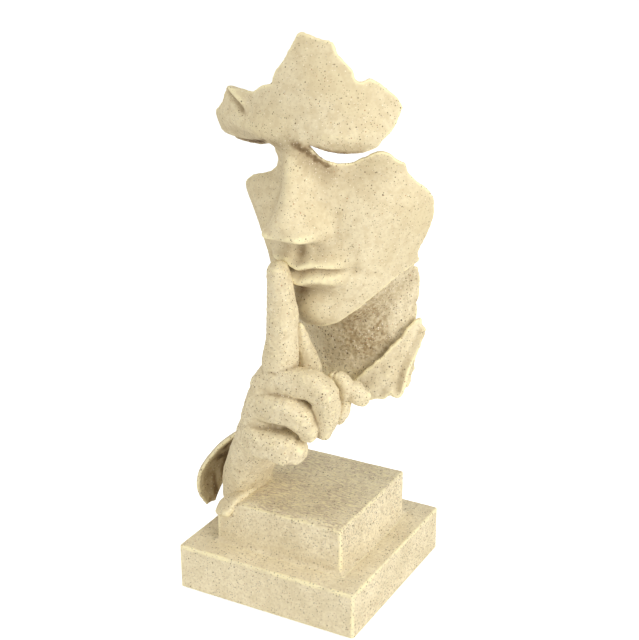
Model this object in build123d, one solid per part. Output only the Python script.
from build123d import *
import os
from math import cos, pi, radians, sin
import numpy as np

# A desk ornament of cast stone resin: a hollow torn face mask, hushed by a raised finger,
# standing by its wrist on a plinth of two square steps. Millimetres, +Z up, the face looks
# along -Y, and the origin is the middle of the underside.

# Plinth
lower_side = 116.0
lower_height = 27.5
upper_side = 82.5
upper_height = 28.5
plinth_corner = 1.6  # radius of the upright corners
plinth_edge = 0.8  # radius round the top of each step
slope_width = 20.0  # worn slope along one side of the upper step's top
slope_drop = 8.0
slope_run = 75.0  # length of the slope from the front
cove_radius = 3.0
cove_lip = 0.4  # thickness of the cove's outer edge
felt_thickness = 1.0
felt_inset = 5.0

# Hand
hand_reach = 150.0  # wrist seat to fingertip
wrist_place_shares = (-0.9212, -0.3394)  # middle of the wrist, in half sides of the upper step

# Head form
third = 55.0  # hairline to brow, brow to nose base, nose base to chin
head_half_width = 60.0
mask_wall = 5.0
head_aside = 13.85  # the head's axis lies this far beside the fingertip
head_turn = -3.0  # degrees about Z
head_bow = 8.0  # degrees forward
skin_depth_share = 1.05  # skin at the fingertip, in front of the head's axis
lip_depth_share = 0.1464  # and what the mouth adds, in thirds
nose_base_share = 0.5118  # nose base above the fingertip, in thirds

# Neck and collar
neck_half_width = 46.0
neck_half_depth = 40.0
neck_aside = 3.5  # the neck's axis from the head's axis
neck_behind = 5.5
neck_wall = 5.0
neck_drop = 107.5  # nose base to the torn lower edge
neck_taper = 2.0  # how much narrower the foot is all round
collar_wall = 4.5
collar_height = 36.0
collar_flare = 4.0

# Tie and sleeve
knot_size = 16.0
knot_place_shares = (0.459, -0.077, 0.523)  # in hand reaches from the wrist seat
sleeve_wall = 3.5
sleeve_length = 54.0

# Steel fixings
rod_diameter = 6.0
rod_grip = 26.0  # length of rod inside the wrist
rod_aside = 5.0  # from the middle of the wrist
rod_before = 3.0
rod_stand = 1.0  # thread that shows below the nut
nut_flats = 10.0
nut_height = 5.0
washer_diameter = 18.0
washer_thickness = 1.6
pocket_diameter = 24.0
pocket_depth = 10.0
dowel_diameter = 5.0
dowel_length = 24.0
dowel_spread = 40.0
pin_diameter = 2.5
finger_pin_root = 3.5  # length in front of the fingertip's middle
finger_to_lip = 4.5  # fingertip's middle to the skin behind it
pin_wall_share = 0.8  # how far that pin goes into the mask's wall
bridge_pin_length = 16.0
bridge_pin_spread = 7.0
bridge_pin_middle_share = -0.04
bridge_pin_depth_share = 1.07
bridge_level_share = 0.91
tie_pin_length = 17.0
tie_pin_place_shares = (0.06, -0.86, -0.30)  # in knot sizes from the knot's middle
hole_clearance = 0.1

# Working values of the surfaces
surface_fit = 0.08  # how close a surface follows its points
overrun = 2.0
trim_block = 600.0  # side of the block that levels the wrist

tier_top = felt_thickness + lower_height
seat_height = tier_top + upper_height
wrist_side_share, wrist_front_share = wrist_place_shares
wrist_x = wrist_side_share * upper_side / 2
wrist_y = wrist_front_share * upper_side / 2
wrist_seat = (wrist_x, wrist_y, seat_height)

parts = {}


def keep(name, solid):
    parts[name] = solid


def largest(shape):
    return sorted(shape.solids(), key=lambda solid: solid.volume)[-1]


# Curves and surfaces
def smooth_step(value, low, high):
    share = np.clip((value - low) / (high - low), 0, 1)
    return share * share * (3 - 2 * share)


def through(rows, where):
    """Smooth curve through rows of (place, values...), read at each place in where."""
    table = np.array(rows, float)
    table = table[np.argsort(table[:, 0])]
    places = table[:, 0]
    slopes = np.gradient(table, places, axis=0)
    row = np.clip(np.searchsorted(places, where) - 1, 0, len(places) - 2)
    step = places[row + 1] - places[row]
    share = np.clip((where - places[row]) / step, 0, 1)[..., None]
    start, end = table[row], table[row + 1]
    lift = slopes[row] * step[..., None]
    land = slopes[row + 1] * step[..., None]
    curve = (2 * share**3 - 3 * share**2 + 1) * start + (share**3 - 2 * share**2 + share) * lift
    curve = curve + (3 * share**2 - 2 * share**3) * end + (share**3 - share**2) * land
    return curve[..., 1:]


def sheet(points):
    rows = [[Vector(*point) for point in row] for row in points.tolist()]
    return Face.make_surface_from_array_of_points(rows, tol=surface_fit, min_deg=3, max_deg=3)


def walled(outer, inner):
    """Closed solid between two open sheets of points with matching borders."""
    front, back = sheet(outer), sheet(inner)
    sides = []
    for edge in front.edges():
        partner = min(back.edges(), key=lambda other: (other.center() - edge.center()).length)
        sides.append(Face.make_surface_from_curves(edge, partner))
    solid = Solid(Shell(Face.sew_faces([front, back] + sides)[0]))
    return solid if solid.volume > 0 else Solid(-solid)


def offset_points(points, distance):
    """Points moved along the normals of their own sheet."""
    normal = np.cross(np.gradient(points, axis=1), np.gradient(points, axis=0))
    normal = normal / np.linalg.norm(normal, axis=-1, keepdims=True)
    return points + distance * normal


# Tubes: stations of x, y, z, half width along the knuckle row and half thickness, in shares
dome_angles = (25, 48, 66, 80)  # degrees round a closed end
station_spacing_share = 0.75  # sections along a tube, as a share of its half width


def evenly(stations):
    """The same tube with sections at an even spacing."""
    steps = np.linalg.norm(np.diff(stations[:, :3], axis=0), axis=1)
    place = np.concatenate([[0], np.cumsum(steps)])
    count = int(place[-1] / (station_spacing_share * stations[:, 3].mean())) + 2
    return through(np.column_stack([place, stations]), np.linspace(0, place[-1], count))


def dome_rings(end, way):
    rings = []
    for angle in dome_angles:
        ring = end.copy()
        ring[:3] = end[:3] + way * end[4] * sin(radians(angle))
        ring[3:] = end[3:] * cos(radians(angle))
        rings.append(ring)
    return rings


def unit_way(start, end):
    return (end[:3] - start[:3]) / np.linalg.norm(end[:3] - start[:3])


def tube(rows, unit, origin, across, foot_dome=False, tip_dome=True):
    """Smooth solid through elliptical sections square to its own path."""
    stations = np.array(rows, float) * unit
    stations[:, :3] = stations[:, :3] + np.array(origin)
    stations = evenly(stations)
    ways = np.gradient(stations[:, :3], axis=0)
    if tip_dome:
        dome = dome_rings(stations[-1], unit_way(stations[-2], stations[-1]))
        ways = np.vstack([ways] + [ways[-1]] * len(dome))
        stations = np.vstack([stations, dome])
    if foot_dome:
        dome = dome_rings(stations[0], unit_way(stations[1], stations[0]))[::-1]
        ways = np.vstack([ways[0]] * len(dome) + [ways])
        stations = np.vstack([dome, stations])
    rings = []
    for (x, y, z, wide, thick), way in zip(stations, ways):
        direction = Vector(*way).normalized()
        sideways = Vector(*across) - direction * Vector(*across).dot(direction)
        plane = Plane(origin=(x, y, z), x_dir=sideways, z_dir=direction)
        rings.append(Wire.make_ellipse(wide, thick, plane))
    return Solid.make_loft(rings)


# The hand, in shares of its reach from the middle of the wrist seat
index_shares = [
    (0.247, -0.143, 0.536, 0.062, 0.060),
    (0.253, -0.140, 0.647, 0.061, 0.059),
    (0.255, -0.137, 0.725, 0.057, 0.055),
    (0.253, -0.133, 0.801, 0.057, 0.053),
    (0.243, -0.125, 0.866, 0.049, 0.048),
    (0.234, -0.119, 0.923, 0.045, 0.044),
    (0.231, -0.117, 0.949, 0.041, 0.040),
]
middle_shares = [
    (0.191, -0.147, 0.505, 0.055, 0.056),
    (0.245, -0.157, 0.536, 0.055, 0.056),
    (0.338, -0.163, 0.551, 0.052, 0.055),
    (0.394, -0.160, 0.550, 0.052, 0.055),
    (0.428, -0.153, 0.533, 0.053, 0.053),
]
middle_tip_shares = [
    (0.439, -0.150, 0.517, 0.052, 0.051),
    (0.446, -0.140, 0.447, 0.044, 0.047),
    (0.426, -0.130, 0.379, 0.036, 0.039),
    (0.420, -0.127, 0.360, 0.033, 0.036),
]
ring_shares = [
    (0.189, -0.173, 0.438, 0.057, 0.057),
    (0.257, -0.187, 0.445, 0.060, 0.057),
    (0.323, -0.190, 0.445, 0.059, 0.056),
    (0.359, -0.187, 0.431, 0.055, 0.053),
]
ring_tip_shares = [
    (0.369, -0.183, 0.416, 0.052, 0.049),
    (0.382, -0.177, 0.384, 0.039, 0.043),
    (0.383, -0.170, 0.357, 0.031, 0.036),
]
little_shares = [
    (0.169, -0.167, 0.307, 0.077, 0.056),
    (0.205, -0.177, 0.301, 0.082, 0.059),
    (0.257, -0.183, 0.297, 0.077, 0.059),
    (0.300, -0.183, 0.283, 0.070, 0.061),
    (0.321, -0.180, 0.273, 0.063, 0.059),
    (0.333, -0.177, 0.269, 0.052, 0.049),
]
thumb_shares = [
    (0.099, 0.013, 0.191, 0.080, 0.080),
    (0.195, 0.007, 0.335, 0.073, 0.073),
    (0.270, -0.007, 0.457, 0.063, 0.063),
    (0.299, -0.027, 0.560, 0.052, 0.052),
    (0.296, -0.047, 0.639, 0.037, 0.037),
    (0.295, -0.063, 0.700, 0.023, 0.024),
    (0.293, -0.073, 0.738, 0.012, 0.013),
]
palm_shares = [
    (0.000, 0.007, -0.060, 0.107, 0.083),
    (0.007, 0.000, 0.020, 0.113, 0.085),
    (0.047, -0.027, 0.113, 0.117, 0.087),
    (0.100, -0.060, 0.207, 0.113, 0.093),
    (0.150, -0.093, 0.300, 0.113, 0.093),
    (0.183, -0.117, 0.393, 0.107, 0.090),
    (0.207, -0.130, 0.473, 0.093, 0.083),
    (0.220, -0.137, 0.527, 0.073, 0.070),
]
web_shares = [  # flesh between the roots of the bent fingers
    (0.233, -0.130, 0.513, 0.073, 0.053),
    (0.223, -0.143, 0.440, 0.080, 0.053),
    (0.200, -0.150, 0.353, 0.083, 0.053),
    (0.180, -0.147, 0.280, 0.067, 0.047),
]
along_x, along_y = (1, 0, 0), (0, -1, 0)
fingertip = np.array(wrist_seat) + hand_reach * np.array(index_shares[-1][:3])

# The head form: each level is a rounded ellipse, and every feature lifts or sinks the skin.
# Heights are shares of the third above the nose base; the shares of the form are given by level.
form_shares = [
    # level, half width, depth (both as shares of the head's half width)
    (2.15, 0.70, 0.72),
    (1.80, 0.86, 0.91),
    (1.40, 0.965, 1.03),
    (1.00, 1.00, 1.08),
    (0.55, 1.00, 1.04),
    (0.20, 0.985, 1.045),
    (-0.10, 0.945, 1.055),
    (-0.40, 0.865, 1.06),
    (-0.70, 0.76, 1.03),
    (-1.00, 0.62, 0.97),
    (-1.30, 0.50, 0.86),
]
soft_shares = [
    # side, level, spread sideways, spread in height, lift (shares of the third)
    (0.53, 0.64, 0.35, 0.24, -0.172),  # eye socket
    (0.45, 1.05, 0.38, 0.14, 0.082),  # brow
    (0.84, 0.31, 0.27, 0.22, 0.055),  # cheekbone
    (0.73, -0.33, 0.24, 0.31, -0.055),  # hollow of the cheek
    (0.00, -0.36, 0.44, 0.27, 0.082),  # mouth over the teeth
]
fine_shares = [
    (0.20, 0.12, 0.095, 0.11, 0.155),  # wing of the nose
    (0.34, 0.11, 0.073, 0.16, -0.036),  # crease beside the wing
    (0.49, -0.35, 0.073, 0.073, -0.044),  # corner of the mouth
    (0.00, -0.60, 0.27, 0.082, -0.073),  # fold under the lower lip
    (0.00, -0.84, 0.29, 0.18, 0.10),  # chin
]
nose_shares = [
    # level, lift of the ridge, half width of the ridge (shares of the third)
    (1.20, 0.000, 0.16),
    (1.05, 0.018, 0.16),
    (0.91, 0.082, 0.13),
    (0.69, 0.190, 0.145),
    (0.40, 0.310, 0.173),
    (0.20, 0.409, 0.227),
    (0.09, 0.382, 0.236),
    (0.02, 0.200, 0.236),
    (-0.055, 0.045, 0.236),
    (-0.13, 0.000, 0.236),
    (-0.22, 0.000, 0.236),
]
mouth_level_share = -1 / 3
lip_width_share = 0.44
lip_shares = [
    # level from the mouth line, half height, lift (shares of the third)
    (0.076, 0.065, 0.084),
    (-0.091, 0.076, 0.102),
]
lip_line_shares = (0.027, 0.076)  # half height and depth of the line between the lips
line_width_share = 1.08
philtrum_shares = (0.047, 0.029)  # half width and depth
philtrum_foot_shares = (-0.27, -0.16)  # levels between which it fades in and out
philtrum_top_shares = (-0.07, 0.00)
ridge_power = 2.6
lip_power = 2.2
line_power = 4
roundness = 2.25  # 2 is an ellipse, more is squarer
lift_turn_share = 0.55  # a feature lifts between straight ahead and straight out


def feature_lift(rows, side, level):
    lift = 0 * side
    for centre, height, wide, tall, amount in rows:
        lift = lift + amount * np.exp(-(((side - centre) / wide) ** 2) - ((level - height) / tall) ** 2)
    return lift


def nose_and_mouth(side, level):
    ridge = through(nose_shares, level)
    lift = ridge[..., 0] * np.exp(-((side / ridge[..., 1]) ** ridge_power))
    groove_width, groove_depth = philtrum_shares
    below_nose = smooth_step(level, *philtrum_foot_shares) * (1 - smooth_step(level, *philtrum_top_shares))
    lift = lift - groove_depth * np.exp(-((side / groove_width) ** 2)) * below_nose
    fullness = np.clip(1 - (side / lip_width_share) ** lip_power, 0, 1)
    for height, tall, amount in lip_shares:
        lift = lift + amount * fullness * np.exp(-(((level - mouth_level_share - height) / tall) ** 2))
    line_height, line_depth = lip_line_shares
    line = np.exp(-(((level - mouth_level_share) / line_height) ** 2))
    return lift - line_depth * line * np.clip(line_width_share - (side / lip_width_share) ** line_power, 0, 1)


def head_points(angles, levels, inset, fine):
    """Points of the skin in the head's own frame; angles in degrees from straight ahead."""
    turn, level = np.meshgrid(np.radians(angles), levels)
    sizes = head_half_width * through(form_shares, level) - inset
    sine, cosine = np.sin(turn), np.cos(turn)
    swell = (np.abs(sine) ** roundness + np.abs(cosine) ** roundness) ** (-1 / roundness)
    x = sizes[..., 0] * swell * sine
    y = -sizes[..., 1] * swell * cosine
    side = np.abs(x) / third
    lift = feature_lift(soft_shares, side, level)
    if fine:
        lift = lift + feature_lift(fine_shares, side, level) + nose_and_mouth(side, level)
    x = x + third * lift * np.sin(lift_turn_share * turn)
    y = y - third * lift * np.cos(lift_turn_share * turn)
    return np.stack([x, y, third * level], -1)


bow, turn = radians(head_bow), radians(head_turn)
bow_matrix = np.array([[1, 0, 0], [0, cos(bow), -sin(bow)], [0, sin(bow), cos(bow)]])
turn_matrix = np.array([[cos(turn), -sin(turn), 0], [sin(turn), cos(turn), 0], [0, 0, 1]])
head_matrix = turn_matrix @ bow_matrix

# The head stands so that its lower lip meets the fingertip
lip_depth = skin_depth_share * head_half_width + lip_depth_share * third
head_place = fingertip + np.array([head_aside, lip_depth, nose_base_share * third])
neck_x, neck_y, neck_foot = head_place + np.array([neck_aside, neck_behind, -neck_drop])


def in_statue(points):
    return points @ head_matrix.T + head_place


# Torn outlines, as the angle from straight ahead in degrees and the level as a share of the third
seam_shares = [(-13, 0.86), (-4, 0.90), (8, 0.98)]
brow_outline_shares = seam_shares + [
    (12, 0.93),
    (16, 0.89),
    (21, 0.86),
    (26, 0.84),
    (34, 0.85),
    (41, 0.90),
    (47, 1.01),
    (50, 1.06),
    (56, 1.24),
    (53, 1.34),
    (50, 1.41),
    (43, 1.52),
    (40, 1.55),
    (38, 1.53),
    (34, 1.54),
    (32, 1.64),
    (28, 1.71),
    (24, 1.78),
    (21, 1.87),
    (16, 1.89),
    (5, 1.94),
    (-1, 1.95),
    (-3, 1.88),
    (-6, 1.78),
    (-9, 1.67),
    (-13, 1.58),
    (-14, 1.49),
    (-21, 1.45),
    (-27, 1.38),
    (-33, 1.36),
    (-40, 1.34),
    (-46, 1.27),
    (-53, 1.24),
    (-60, 1.10),
    (-59, 0.95),
    (-52, 0.78),
    (-40, 0.80),
    (-28, 0.86),
    (-20, 0.90),
]
jaw_shares = [(71, -0.45), (66, -0.47), (52, -0.58), (38, -0.76), (24, -0.93), (12, -1.00), (0, -1.03),
              (-12, -1.02), (-24, -0.94), (-36, -0.78), (-46, -0.62)]
mask_outline_shares = seam_shares + [
    (10, 0.87),
    (12, 0.81),
    (16, 0.75),
    (21, 0.72),
    (26, 0.72),
    (33, 0.78),
    (41, 0.84),
    (44, 0.84),
    (47, 0.81),
    (50, 0.74),
    (55, 0.68),
    (56, 0.61),
    (60, 0.50),
    (67, 0.38),
    (72, 0.23),
    (73, 0.11),
    (72, -0.03),
    (69, -0.20),
    (67, -0.30),
] + jaw_shares + [
    (-53, -0.40),
    (-50, -0.14),
    (-55, 0.12),
    (-53, 0.28),
    (-46, 0.38),
    (-38, 0.46),
    (-28, 0.52),
    (-19, 0.68),
]
apex_share = 0.50  # level of the point from which every torn edge is cut
wedge_reach = 1.7  # how far a torn cut runs past the skin


def torn_wedge(outline, bend=lambda points: points):
    """Solid cone from inside the head through a torn outline."""
    apex = np.array([0, 0, apex_share * third])
    rim = []
    for angle, level in outline:
        skin = bend(head_points([angle], [level], 0, False))[0, 0]
        rim.append(apex + wedge_reach * (skin - apex))
    middle = np.mean(rim, axis=0)
    front = apex + (wedge_reach + 1) * (middle - apex)
    corners = [Vector(*in_statue(point)) for point in rim]
    tip, cap = Vector(*in_statue(apex)), Vector(*in_statue(front))
    faces = []
    for first, second in zip(corners, corners[1:] + corners[:1]):
        faces.append(Face(Wire.make_polygon([tip, first, second])))
        faces.append(Face(Wire.make_polygon([cap, second, first])))
    solid = Solid(Shell(Face.sew_faces(faces)[0]))
    return solid if solid.volume > 0 else Solid(-solid)


wall_angle = 86  # degrees to either side that a wall spans before it is torn
mask_level_shares = (-1.25, 1.06)
brow_level_shares = (0.72, 2.10)
mask_grid = (65, 85)  # points across and up
brow_grid = (57, 41)


def head_wall(level_shares, grid):
    across, up = grid
    angles = np.linspace(-wall_angle, wall_angle, across)
    levels = np.linspace(*level_shares, up)
    outer = head_points(angles, levels, 0, True)
    inner = head_points(angles[::2], levels[::2], mask_wall, False)
    return outer, inner


flare_share = 0.30  # how far the far end of the brow curls out, as a share of the third
flare_lift_share = 0.25  # the curl also tips forward by this share of itself
flare_start_share = 0.45  # where on the half width the curl starts


def flared(points):
    """The far end of the brow fragment bends away from the head."""
    away = smooth_step(-points[..., 0] / head_half_width, flare_start_share, 1)
    out = third * flare_share * away
    return points + np.stack([-out, -flare_lift_share * out, 0 * out], -1)


def build_mask():
    outer, inner = head_wall(mask_level_shares, mask_grid)
    return largest(walled(in_statue(outer), in_statue(inner)) & torn_wedge(mask_outline_shares))


def build_brow():
    outer, inner = head_wall(brow_level_shares, brow_grid)
    shell = walled(in_statue(flared(outer)), in_statue(flared(inner)))
    return largest(shell & torn_wedge(brow_outline_shares, flared))


def half_space_below(level):
    block = Box(trim_block, trim_block, trim_block, align=(Align.CENTER, Align.CENTER, Align.MAX))
    return Pos(0, 0, level) * block


def build_hand(mask, step):
    palm = tube(palm_shares, hand_reach, wrist_seat, along_y)
    hand = largest(largest(palm - half_space_below(seat_height - slope_drop)) - step)
    for rows, across, foot in (
        (web_shares, along_x, True),
        (index_shares, along_x, False),
        (thumb_shares, along_x, True),
        (middle_shares, along_y, True),
        (middle_tip_shares, along_y, True),
        (ring_shares, along_y, True),
        (ring_tip_shares, along_y, True),
        (little_shares, along_y, True),
    ):
        hand = largest(hand + tube(rows, hand_reach, wrist_seat, across, foot_dome=foot))
    return largest(hand - mask)


# Neck: a torn half tube that flares up into the jaw. Angles are degrees from straight ahead.
neck_edge_shares = [
    # share of the way down, angles of the torn left and right edges
    (0.00, -46, 68),
    (0.30, -50, 63),
    (0.45, -57, 61),
    (0.60, -58, 64),
    (0.75, -57, 60),
    (0.88, -53, 63),
    (1.00, -50, 57),
]
jaw_overlap_share = 0.05  # how far the neck reaches up into the jaw, before it is trimmed to it
throat_drop_share = 0.10
neck_row_shares = [0, 0.3, 0.62, 0.86, 1.0, 1.08, 1.2, 1.4, 1.6, 1.8, 2.0]  # jaw 0, throat 1, foot 2
neck_columns = 17


def neck_ring(angles, grow):
    turn = np.radians(angles)
    x = neck_x + (neck_half_width + grow) * np.sin(turn)
    y = neck_y - (neck_half_depth + grow) * np.cos(turn)
    return np.stack([x, y, 0 * x], -1)


def build_neck(mask):
    edges = through(neck_edge_shares, np.array(neck_row_shares) / neck_row_shares[-1])
    rows = []
    for share, (left, right) in zip(neck_row_shares, edges):
        angles = np.linspace(left, right, neck_columns)
        levels = through(jaw_shares, angles)[:, 0] + jaw_overlap_share
        jaw = [head_points([angle], [level], mask_wall / 2, False)[0, 0] for angle, level in zip(angles, levels)]
        jaw = in_statue(np.array(jaw))
        throat = neck_ring(angles, 0)
        throat[:, 2] = jaw[:, 2] - throat_drop_share * third
        foot = neck_ring(angles, -neck_taper)
        foot[:, 2] = neck_foot
        if share <= 1:
            rows.append(jaw + share * (throat - jaw))
        else:
            rows.append(throat + (share - 1) * (foot - throat))
    outer = np.stack(rows)
    neck = walled(outer, offset_points(outer, neck_wall))
    return largest(neck - mask)


# Collar: one torn wing that leans out from the neck, heights above the neck's foot as shares
# of the collar height
collar_shares = [
    # angle, rim height, lower height, lean of the flare
    (12, 0.18, -0.06, 1.00),
    (22, 0.44, -0.05, 1.10),
    (31, 0.64, 0.01, 1.15),
    (38, 0.80, 0.07, 1.20),
    (44, 0.94, 0.12, 1.25),
    (49, 1.07, 0.34, 1.20),
    (53, 1.17, 0.64, 1.10),
    (57, 1.24, 0.86, 1.00),
    (61, 1.28, 1.06, 0.90),
]
collar_columns = 25
collar_rows = 7
collar_bend = 1.3  # more than 1 keeps the flare near the foot


def build_collar(neck, mask):
    angles = np.linspace(collar_shares[0][0], collar_shares[-1][0], collar_columns)
    high, low, lean = through(collar_shares, angles).T
    rows = []
    for share in np.linspace(0, 1, collar_rows):
        row = neck_ring(angles, collar_wall + collar_flare * lean * share**collar_bend)
        row[:, 2] = neck_foot + collar_height * (high + share * (low - high))
        rows.append(row)
    outer = np.stack(rows)
    wing = walled(outer, offset_points(outer, collar_wall))
    return largest(largest(wing - neck) - mask)


# Tie: a knot that curls round a hollow, its bow and the torn tail, in shares of the knot's size
knot_shares = [
    (-0.36, 0.00, 0.16, 0.20, 0.21),
    (-0.13, 0.00, 0.36, 0.23, 0.23),
    (0.14, 0.00, 0.30, 0.26, 0.25),
    (0.30, 0.00, -0.01, 0.29, 0.26),
    (0.14, 0.00, -0.38, 0.23, 0.21),
]
bow_shares = [
    (0.31, 0.06, 0.01, 0.26, 0.25),
    (0.57, 0.16, -0.12, 0.30, 0.26),
    (0.81, 0.22, -0.28, 0.25, 0.20),
]
tail_shares = [
    (0.23, 0.00, -0.54, 0.19, 0.19),
    (0.12, -0.06, -0.89, 0.28, 0.25),
    (0.07, -0.06, -1.12, 0.24, 0.21),
]
knot_place = np.array(wrist_seat) + hand_reach * np.array(knot_place_shares)


def build_knot():
    knot = tube(knot_shares, knot_size, knot_place, along_x, foot_dome=True)
    bow = tube(bow_shares, knot_size, knot_place, (0, 0, 1), foot_dome=True)
    return largest(knot + bow)


# Torn sleeve: a petal behind the wrist and a tongue that lies over the step's corner, in shares
# of the sleeve's length from the wrist seat
petal_shares = [
    # share along, x, y, z, half width, bulge
    (0.00, -0.008, 0.000, 0.631, 0.080, 0.028),
    (0.28, -0.215, -0.016, 0.387, 0.222, 0.093),
    (0.52, -0.374, -0.030, 0.093, 0.278, 0.130),
    (0.76, -0.446, -0.043, -0.174, 0.204, 0.093),
    (1.00, -0.448, -0.055, -0.385, 0.074, 0.028),
]
petal_grid = (15, 9)
petal_width_way = (0.20, 0.98, 0)
petal_bulge_way = (-1, 0, 0)
fold_shares = [
    (0.120, -0.074, -0.022, 0.130, 0.045),
    (0.075, -0.270, -0.056, 0.148, 0.050),
    (0.045, -0.440, -0.095, 0.139, 0.055),
    (0.030, -0.530, -0.155, 0.111, 0.050),
]
fold_width_way = (0.92, 0, 0.38)


def build_petal():
    rows, columns = petal_grid
    along = np.linspace(0, 1, rows)
    middle, half, bulge = np.split(sleeve_length * through(petal_shares, along), [3, 4], axis=1)
    across = np.linspace(-1, 1, columns)[None, :, None]
    centre = np.array(wrist_seat) + middle[:, None, :]
    points = centre + across * half[:, None, :] * np.array(petal_width_way)
    points = points + (1 - across**2) * bulge[:, None, :] * np.array(petal_bulge_way)
    return walled(points, offset_points(points, -sleeve_wall))


# Plinth and fixings
def build_tier(side, height, base):
    block = Box(side, side, height, align=(Align.CENTER, Align.CENTER, Align.MIN))
    block = fillet(block.edges().filter_by(Axis.Z), plinth_corner)
    block = fillet(block.faces().sort_by(Axis.Z)[-1].edges(), plinth_edge)
    return Pos(0, 0, base) * block


def rod_like(diameter, length, place, direction=(0, 0, 1)):
    return Solid.make_cylinder(diameter / 2, length, Plane(origin=place, z_dir=direction))


def drilled(solid, pins):
    """Cuts a hole for each pin, with the hole clearance all round."""
    for diameter, length, place, direction in pins:
        hole = rod_like(diameter + 2 * hole_clearance, length, place, direction)
        solid = largest(solid - hole)
    return solid


upright, backward = (0, 0, 1), (0, 1, 0)
dowel_foot = tier_top - dowel_length / 2
dowel_places = [(side * dowel_spread / 2, -side * dowel_spread / 2, dowel_foot) for side in (1, -1)]
dowels = [(dowel_diameter, dowel_length, place, upright) for place in dowel_places]
rod_x = wrist_x + rod_aside
rod_y = wrist_y - rod_before
pocket_top = felt_thickness + pocket_depth
washer_foot = pocket_top - washer_thickness
nut_foot = washer_foot - nut_height
rod_foot = nut_foot - rod_stand
rod = (rod_diameter, seat_height + rod_grip - rod_foot, (rod_x, rod_y, rod_foot), upright)
finger_pin_length = finger_pin_root + finger_to_lip + pin_wall_share * mask_wall
finger_pin_place = tuple(fingertip - np.array([0, finger_pin_root, 0]))
finger_pin = (pin_diameter, finger_pin_length, finger_pin_place, backward)
tie_pin_place = tuple(knot_place + knot_size * np.array(tie_pin_place_shares))
tie_pin = (pin_diameter, tie_pin_length, tie_pin_place, backward)
bridge_pins = []
for side in (-1, 1):
    x = bridge_pin_middle_share * third + side * bridge_pin_spread / 2
    y = -bridge_pin_depth_share * head_half_width
    foot = np.array([x, y, bridge_level_share * third - bridge_pin_length / 2])
    way = head_matrix @ np.array(upright)
    bridge_pins.append((pin_diameter, bridge_pin_length, tuple(in_statue(foot)), tuple(way)))


def worn_corner():
    """What wear has taken off the upper step's top beside the wrist: a tetrahedron with some overrun."""
    lengths = np.array([slope_width, slope_run, -slope_drop])
    reach = 1 + np.sum(overrun / np.abs(lengths))
    outside = np.array([-overrun, -overrun, overrun])
    corner = np.array([-upper_side / 2, -upper_side / 2, seat_height]) + outside
    tips = [corner] + [corner + reach * step for step in np.diag(lengths)]
    points = [Vector(*tip) for tip in tips]
    faces = [Face(Wire.make_polygon(points[:left_out] + points[left_out + 1:])) for left_out in range(4)]
    solid = Solid(Shell(Face.sew_faces(faces)[0]))
    return solid if solid.volume > 0 else Solid(-solid)


def build_plinth():
    lower = build_tier(lower_side, lower_height, felt_thickness)
    pocket = rod_like(pocket_diameter, pocket_depth + overrun, (rod_x, rod_y, felt_thickness - overrun))
    lower = drilled(lower - pocket, [rod] + dowels)
    upper = build_tier(upper_side, upper_height, tier_top)
    cove_side = upper_side + 2 * cove_radius
    cove = Box(cove_side, cove_side, cove_radius, align=(Align.CENTER, Align.CENTER, Align.MIN))
    cove = Pos(0, 0, tier_top) * cove
    for quarter in range(4):
        scoop = Pos(cove_side / 2, 0, tier_top + cove_radius) * Rot(90, 0, 0)
        scoop = scoop * Cylinder(cove_radius - cove_lip, cove_side + overrun)
        cove = cove - Rot(0, 0, 90 * quarter) * scoop
    step = largest(largest(upper + cove) - worn_corner())
    keep("lower_tier", lower)
    keep("upper_tier", drilled(step, [rod] + dowels))
    return step


def build_fixings():
    hex_radius = nut_flats / 2 / cos(pi / 6)
    nut = Pos(rod_x, rod_y, nut_foot) * extrude(RegularPolygon(hex_radius, 6), nut_height)
    washer = rod_like(washer_diameter, washer_thickness, (rod_x, rod_y, washer_foot))
    keep("wrist_rod", rod_like(*rod))
    keep("rod_nut", drilled(nut, [rod]))
    keep("rod_washer", drilled(washer, [rod]))
    keep("tier_dowels", Compound(children=[rod_like(*dowel) for dowel in dowels]))
    keep("finger_pin", rod_like(*finger_pin))
    keep("bridge_pins", Compound(children=[rod_like(*pin) for pin in bridge_pins]))
    keep("tie_pin", rod_like(*tie_pin))
    felt_side = lower_side - 2 * felt_inset
    felt = Box(felt_side, felt_side, felt_thickness, align=(Align.CENTER, Align.CENTER, Align.MIN))
    keep("base_felt", fillet(felt.edges().filter_by(Axis.Z), felt_inset))


def build_all():
    step = build_plinth()
    build_fixings()
    mask = build_mask()
    brow = build_brow()
    hand = build_hand(mask, step)
    neck = build_neck(mask)
    collar = build_collar(neck, mask)
    knot = build_knot()
    for other in (hand, neck, collar):
        knot = largest(knot - other)
    tail = tube(tail_shares, knot_size, knot_place, along_x, foot_dome=True)
    for other in (knot, hand, collar):
        tail = largest(tail - other)
    petal = largest(largest(build_petal() - hand) - step)
    fold = tube(fold_shares, sleeve_length, wrist_seat, fold_width_way, foot_dome=True)
    for other in (hand, step, petal):
        fold = largest(fold - other)
    keep("face_mask", drilled(mask, [finger_pin] + bridge_pins))
    keep("brow_crest", drilled(brow, bridge_pins))
    keep("hand", drilled(hand, [rod, finger_pin, tie_pin]))
    keep("neck_shell", neck)
    keep("collar", collar)
    keep("tie_knot", drilled(knot, [tie_pin]))
    keep("tie_tail", tail)
    keep("sleeve_petal", petal)
    keep("sleeve_fold", fold)


build_all()
os.makedirs("parts", exist_ok=True)
for name, solid in parts.items():
    export_step(solid, "parts/" + name + ".step")
    print(name, round(solid.volume))
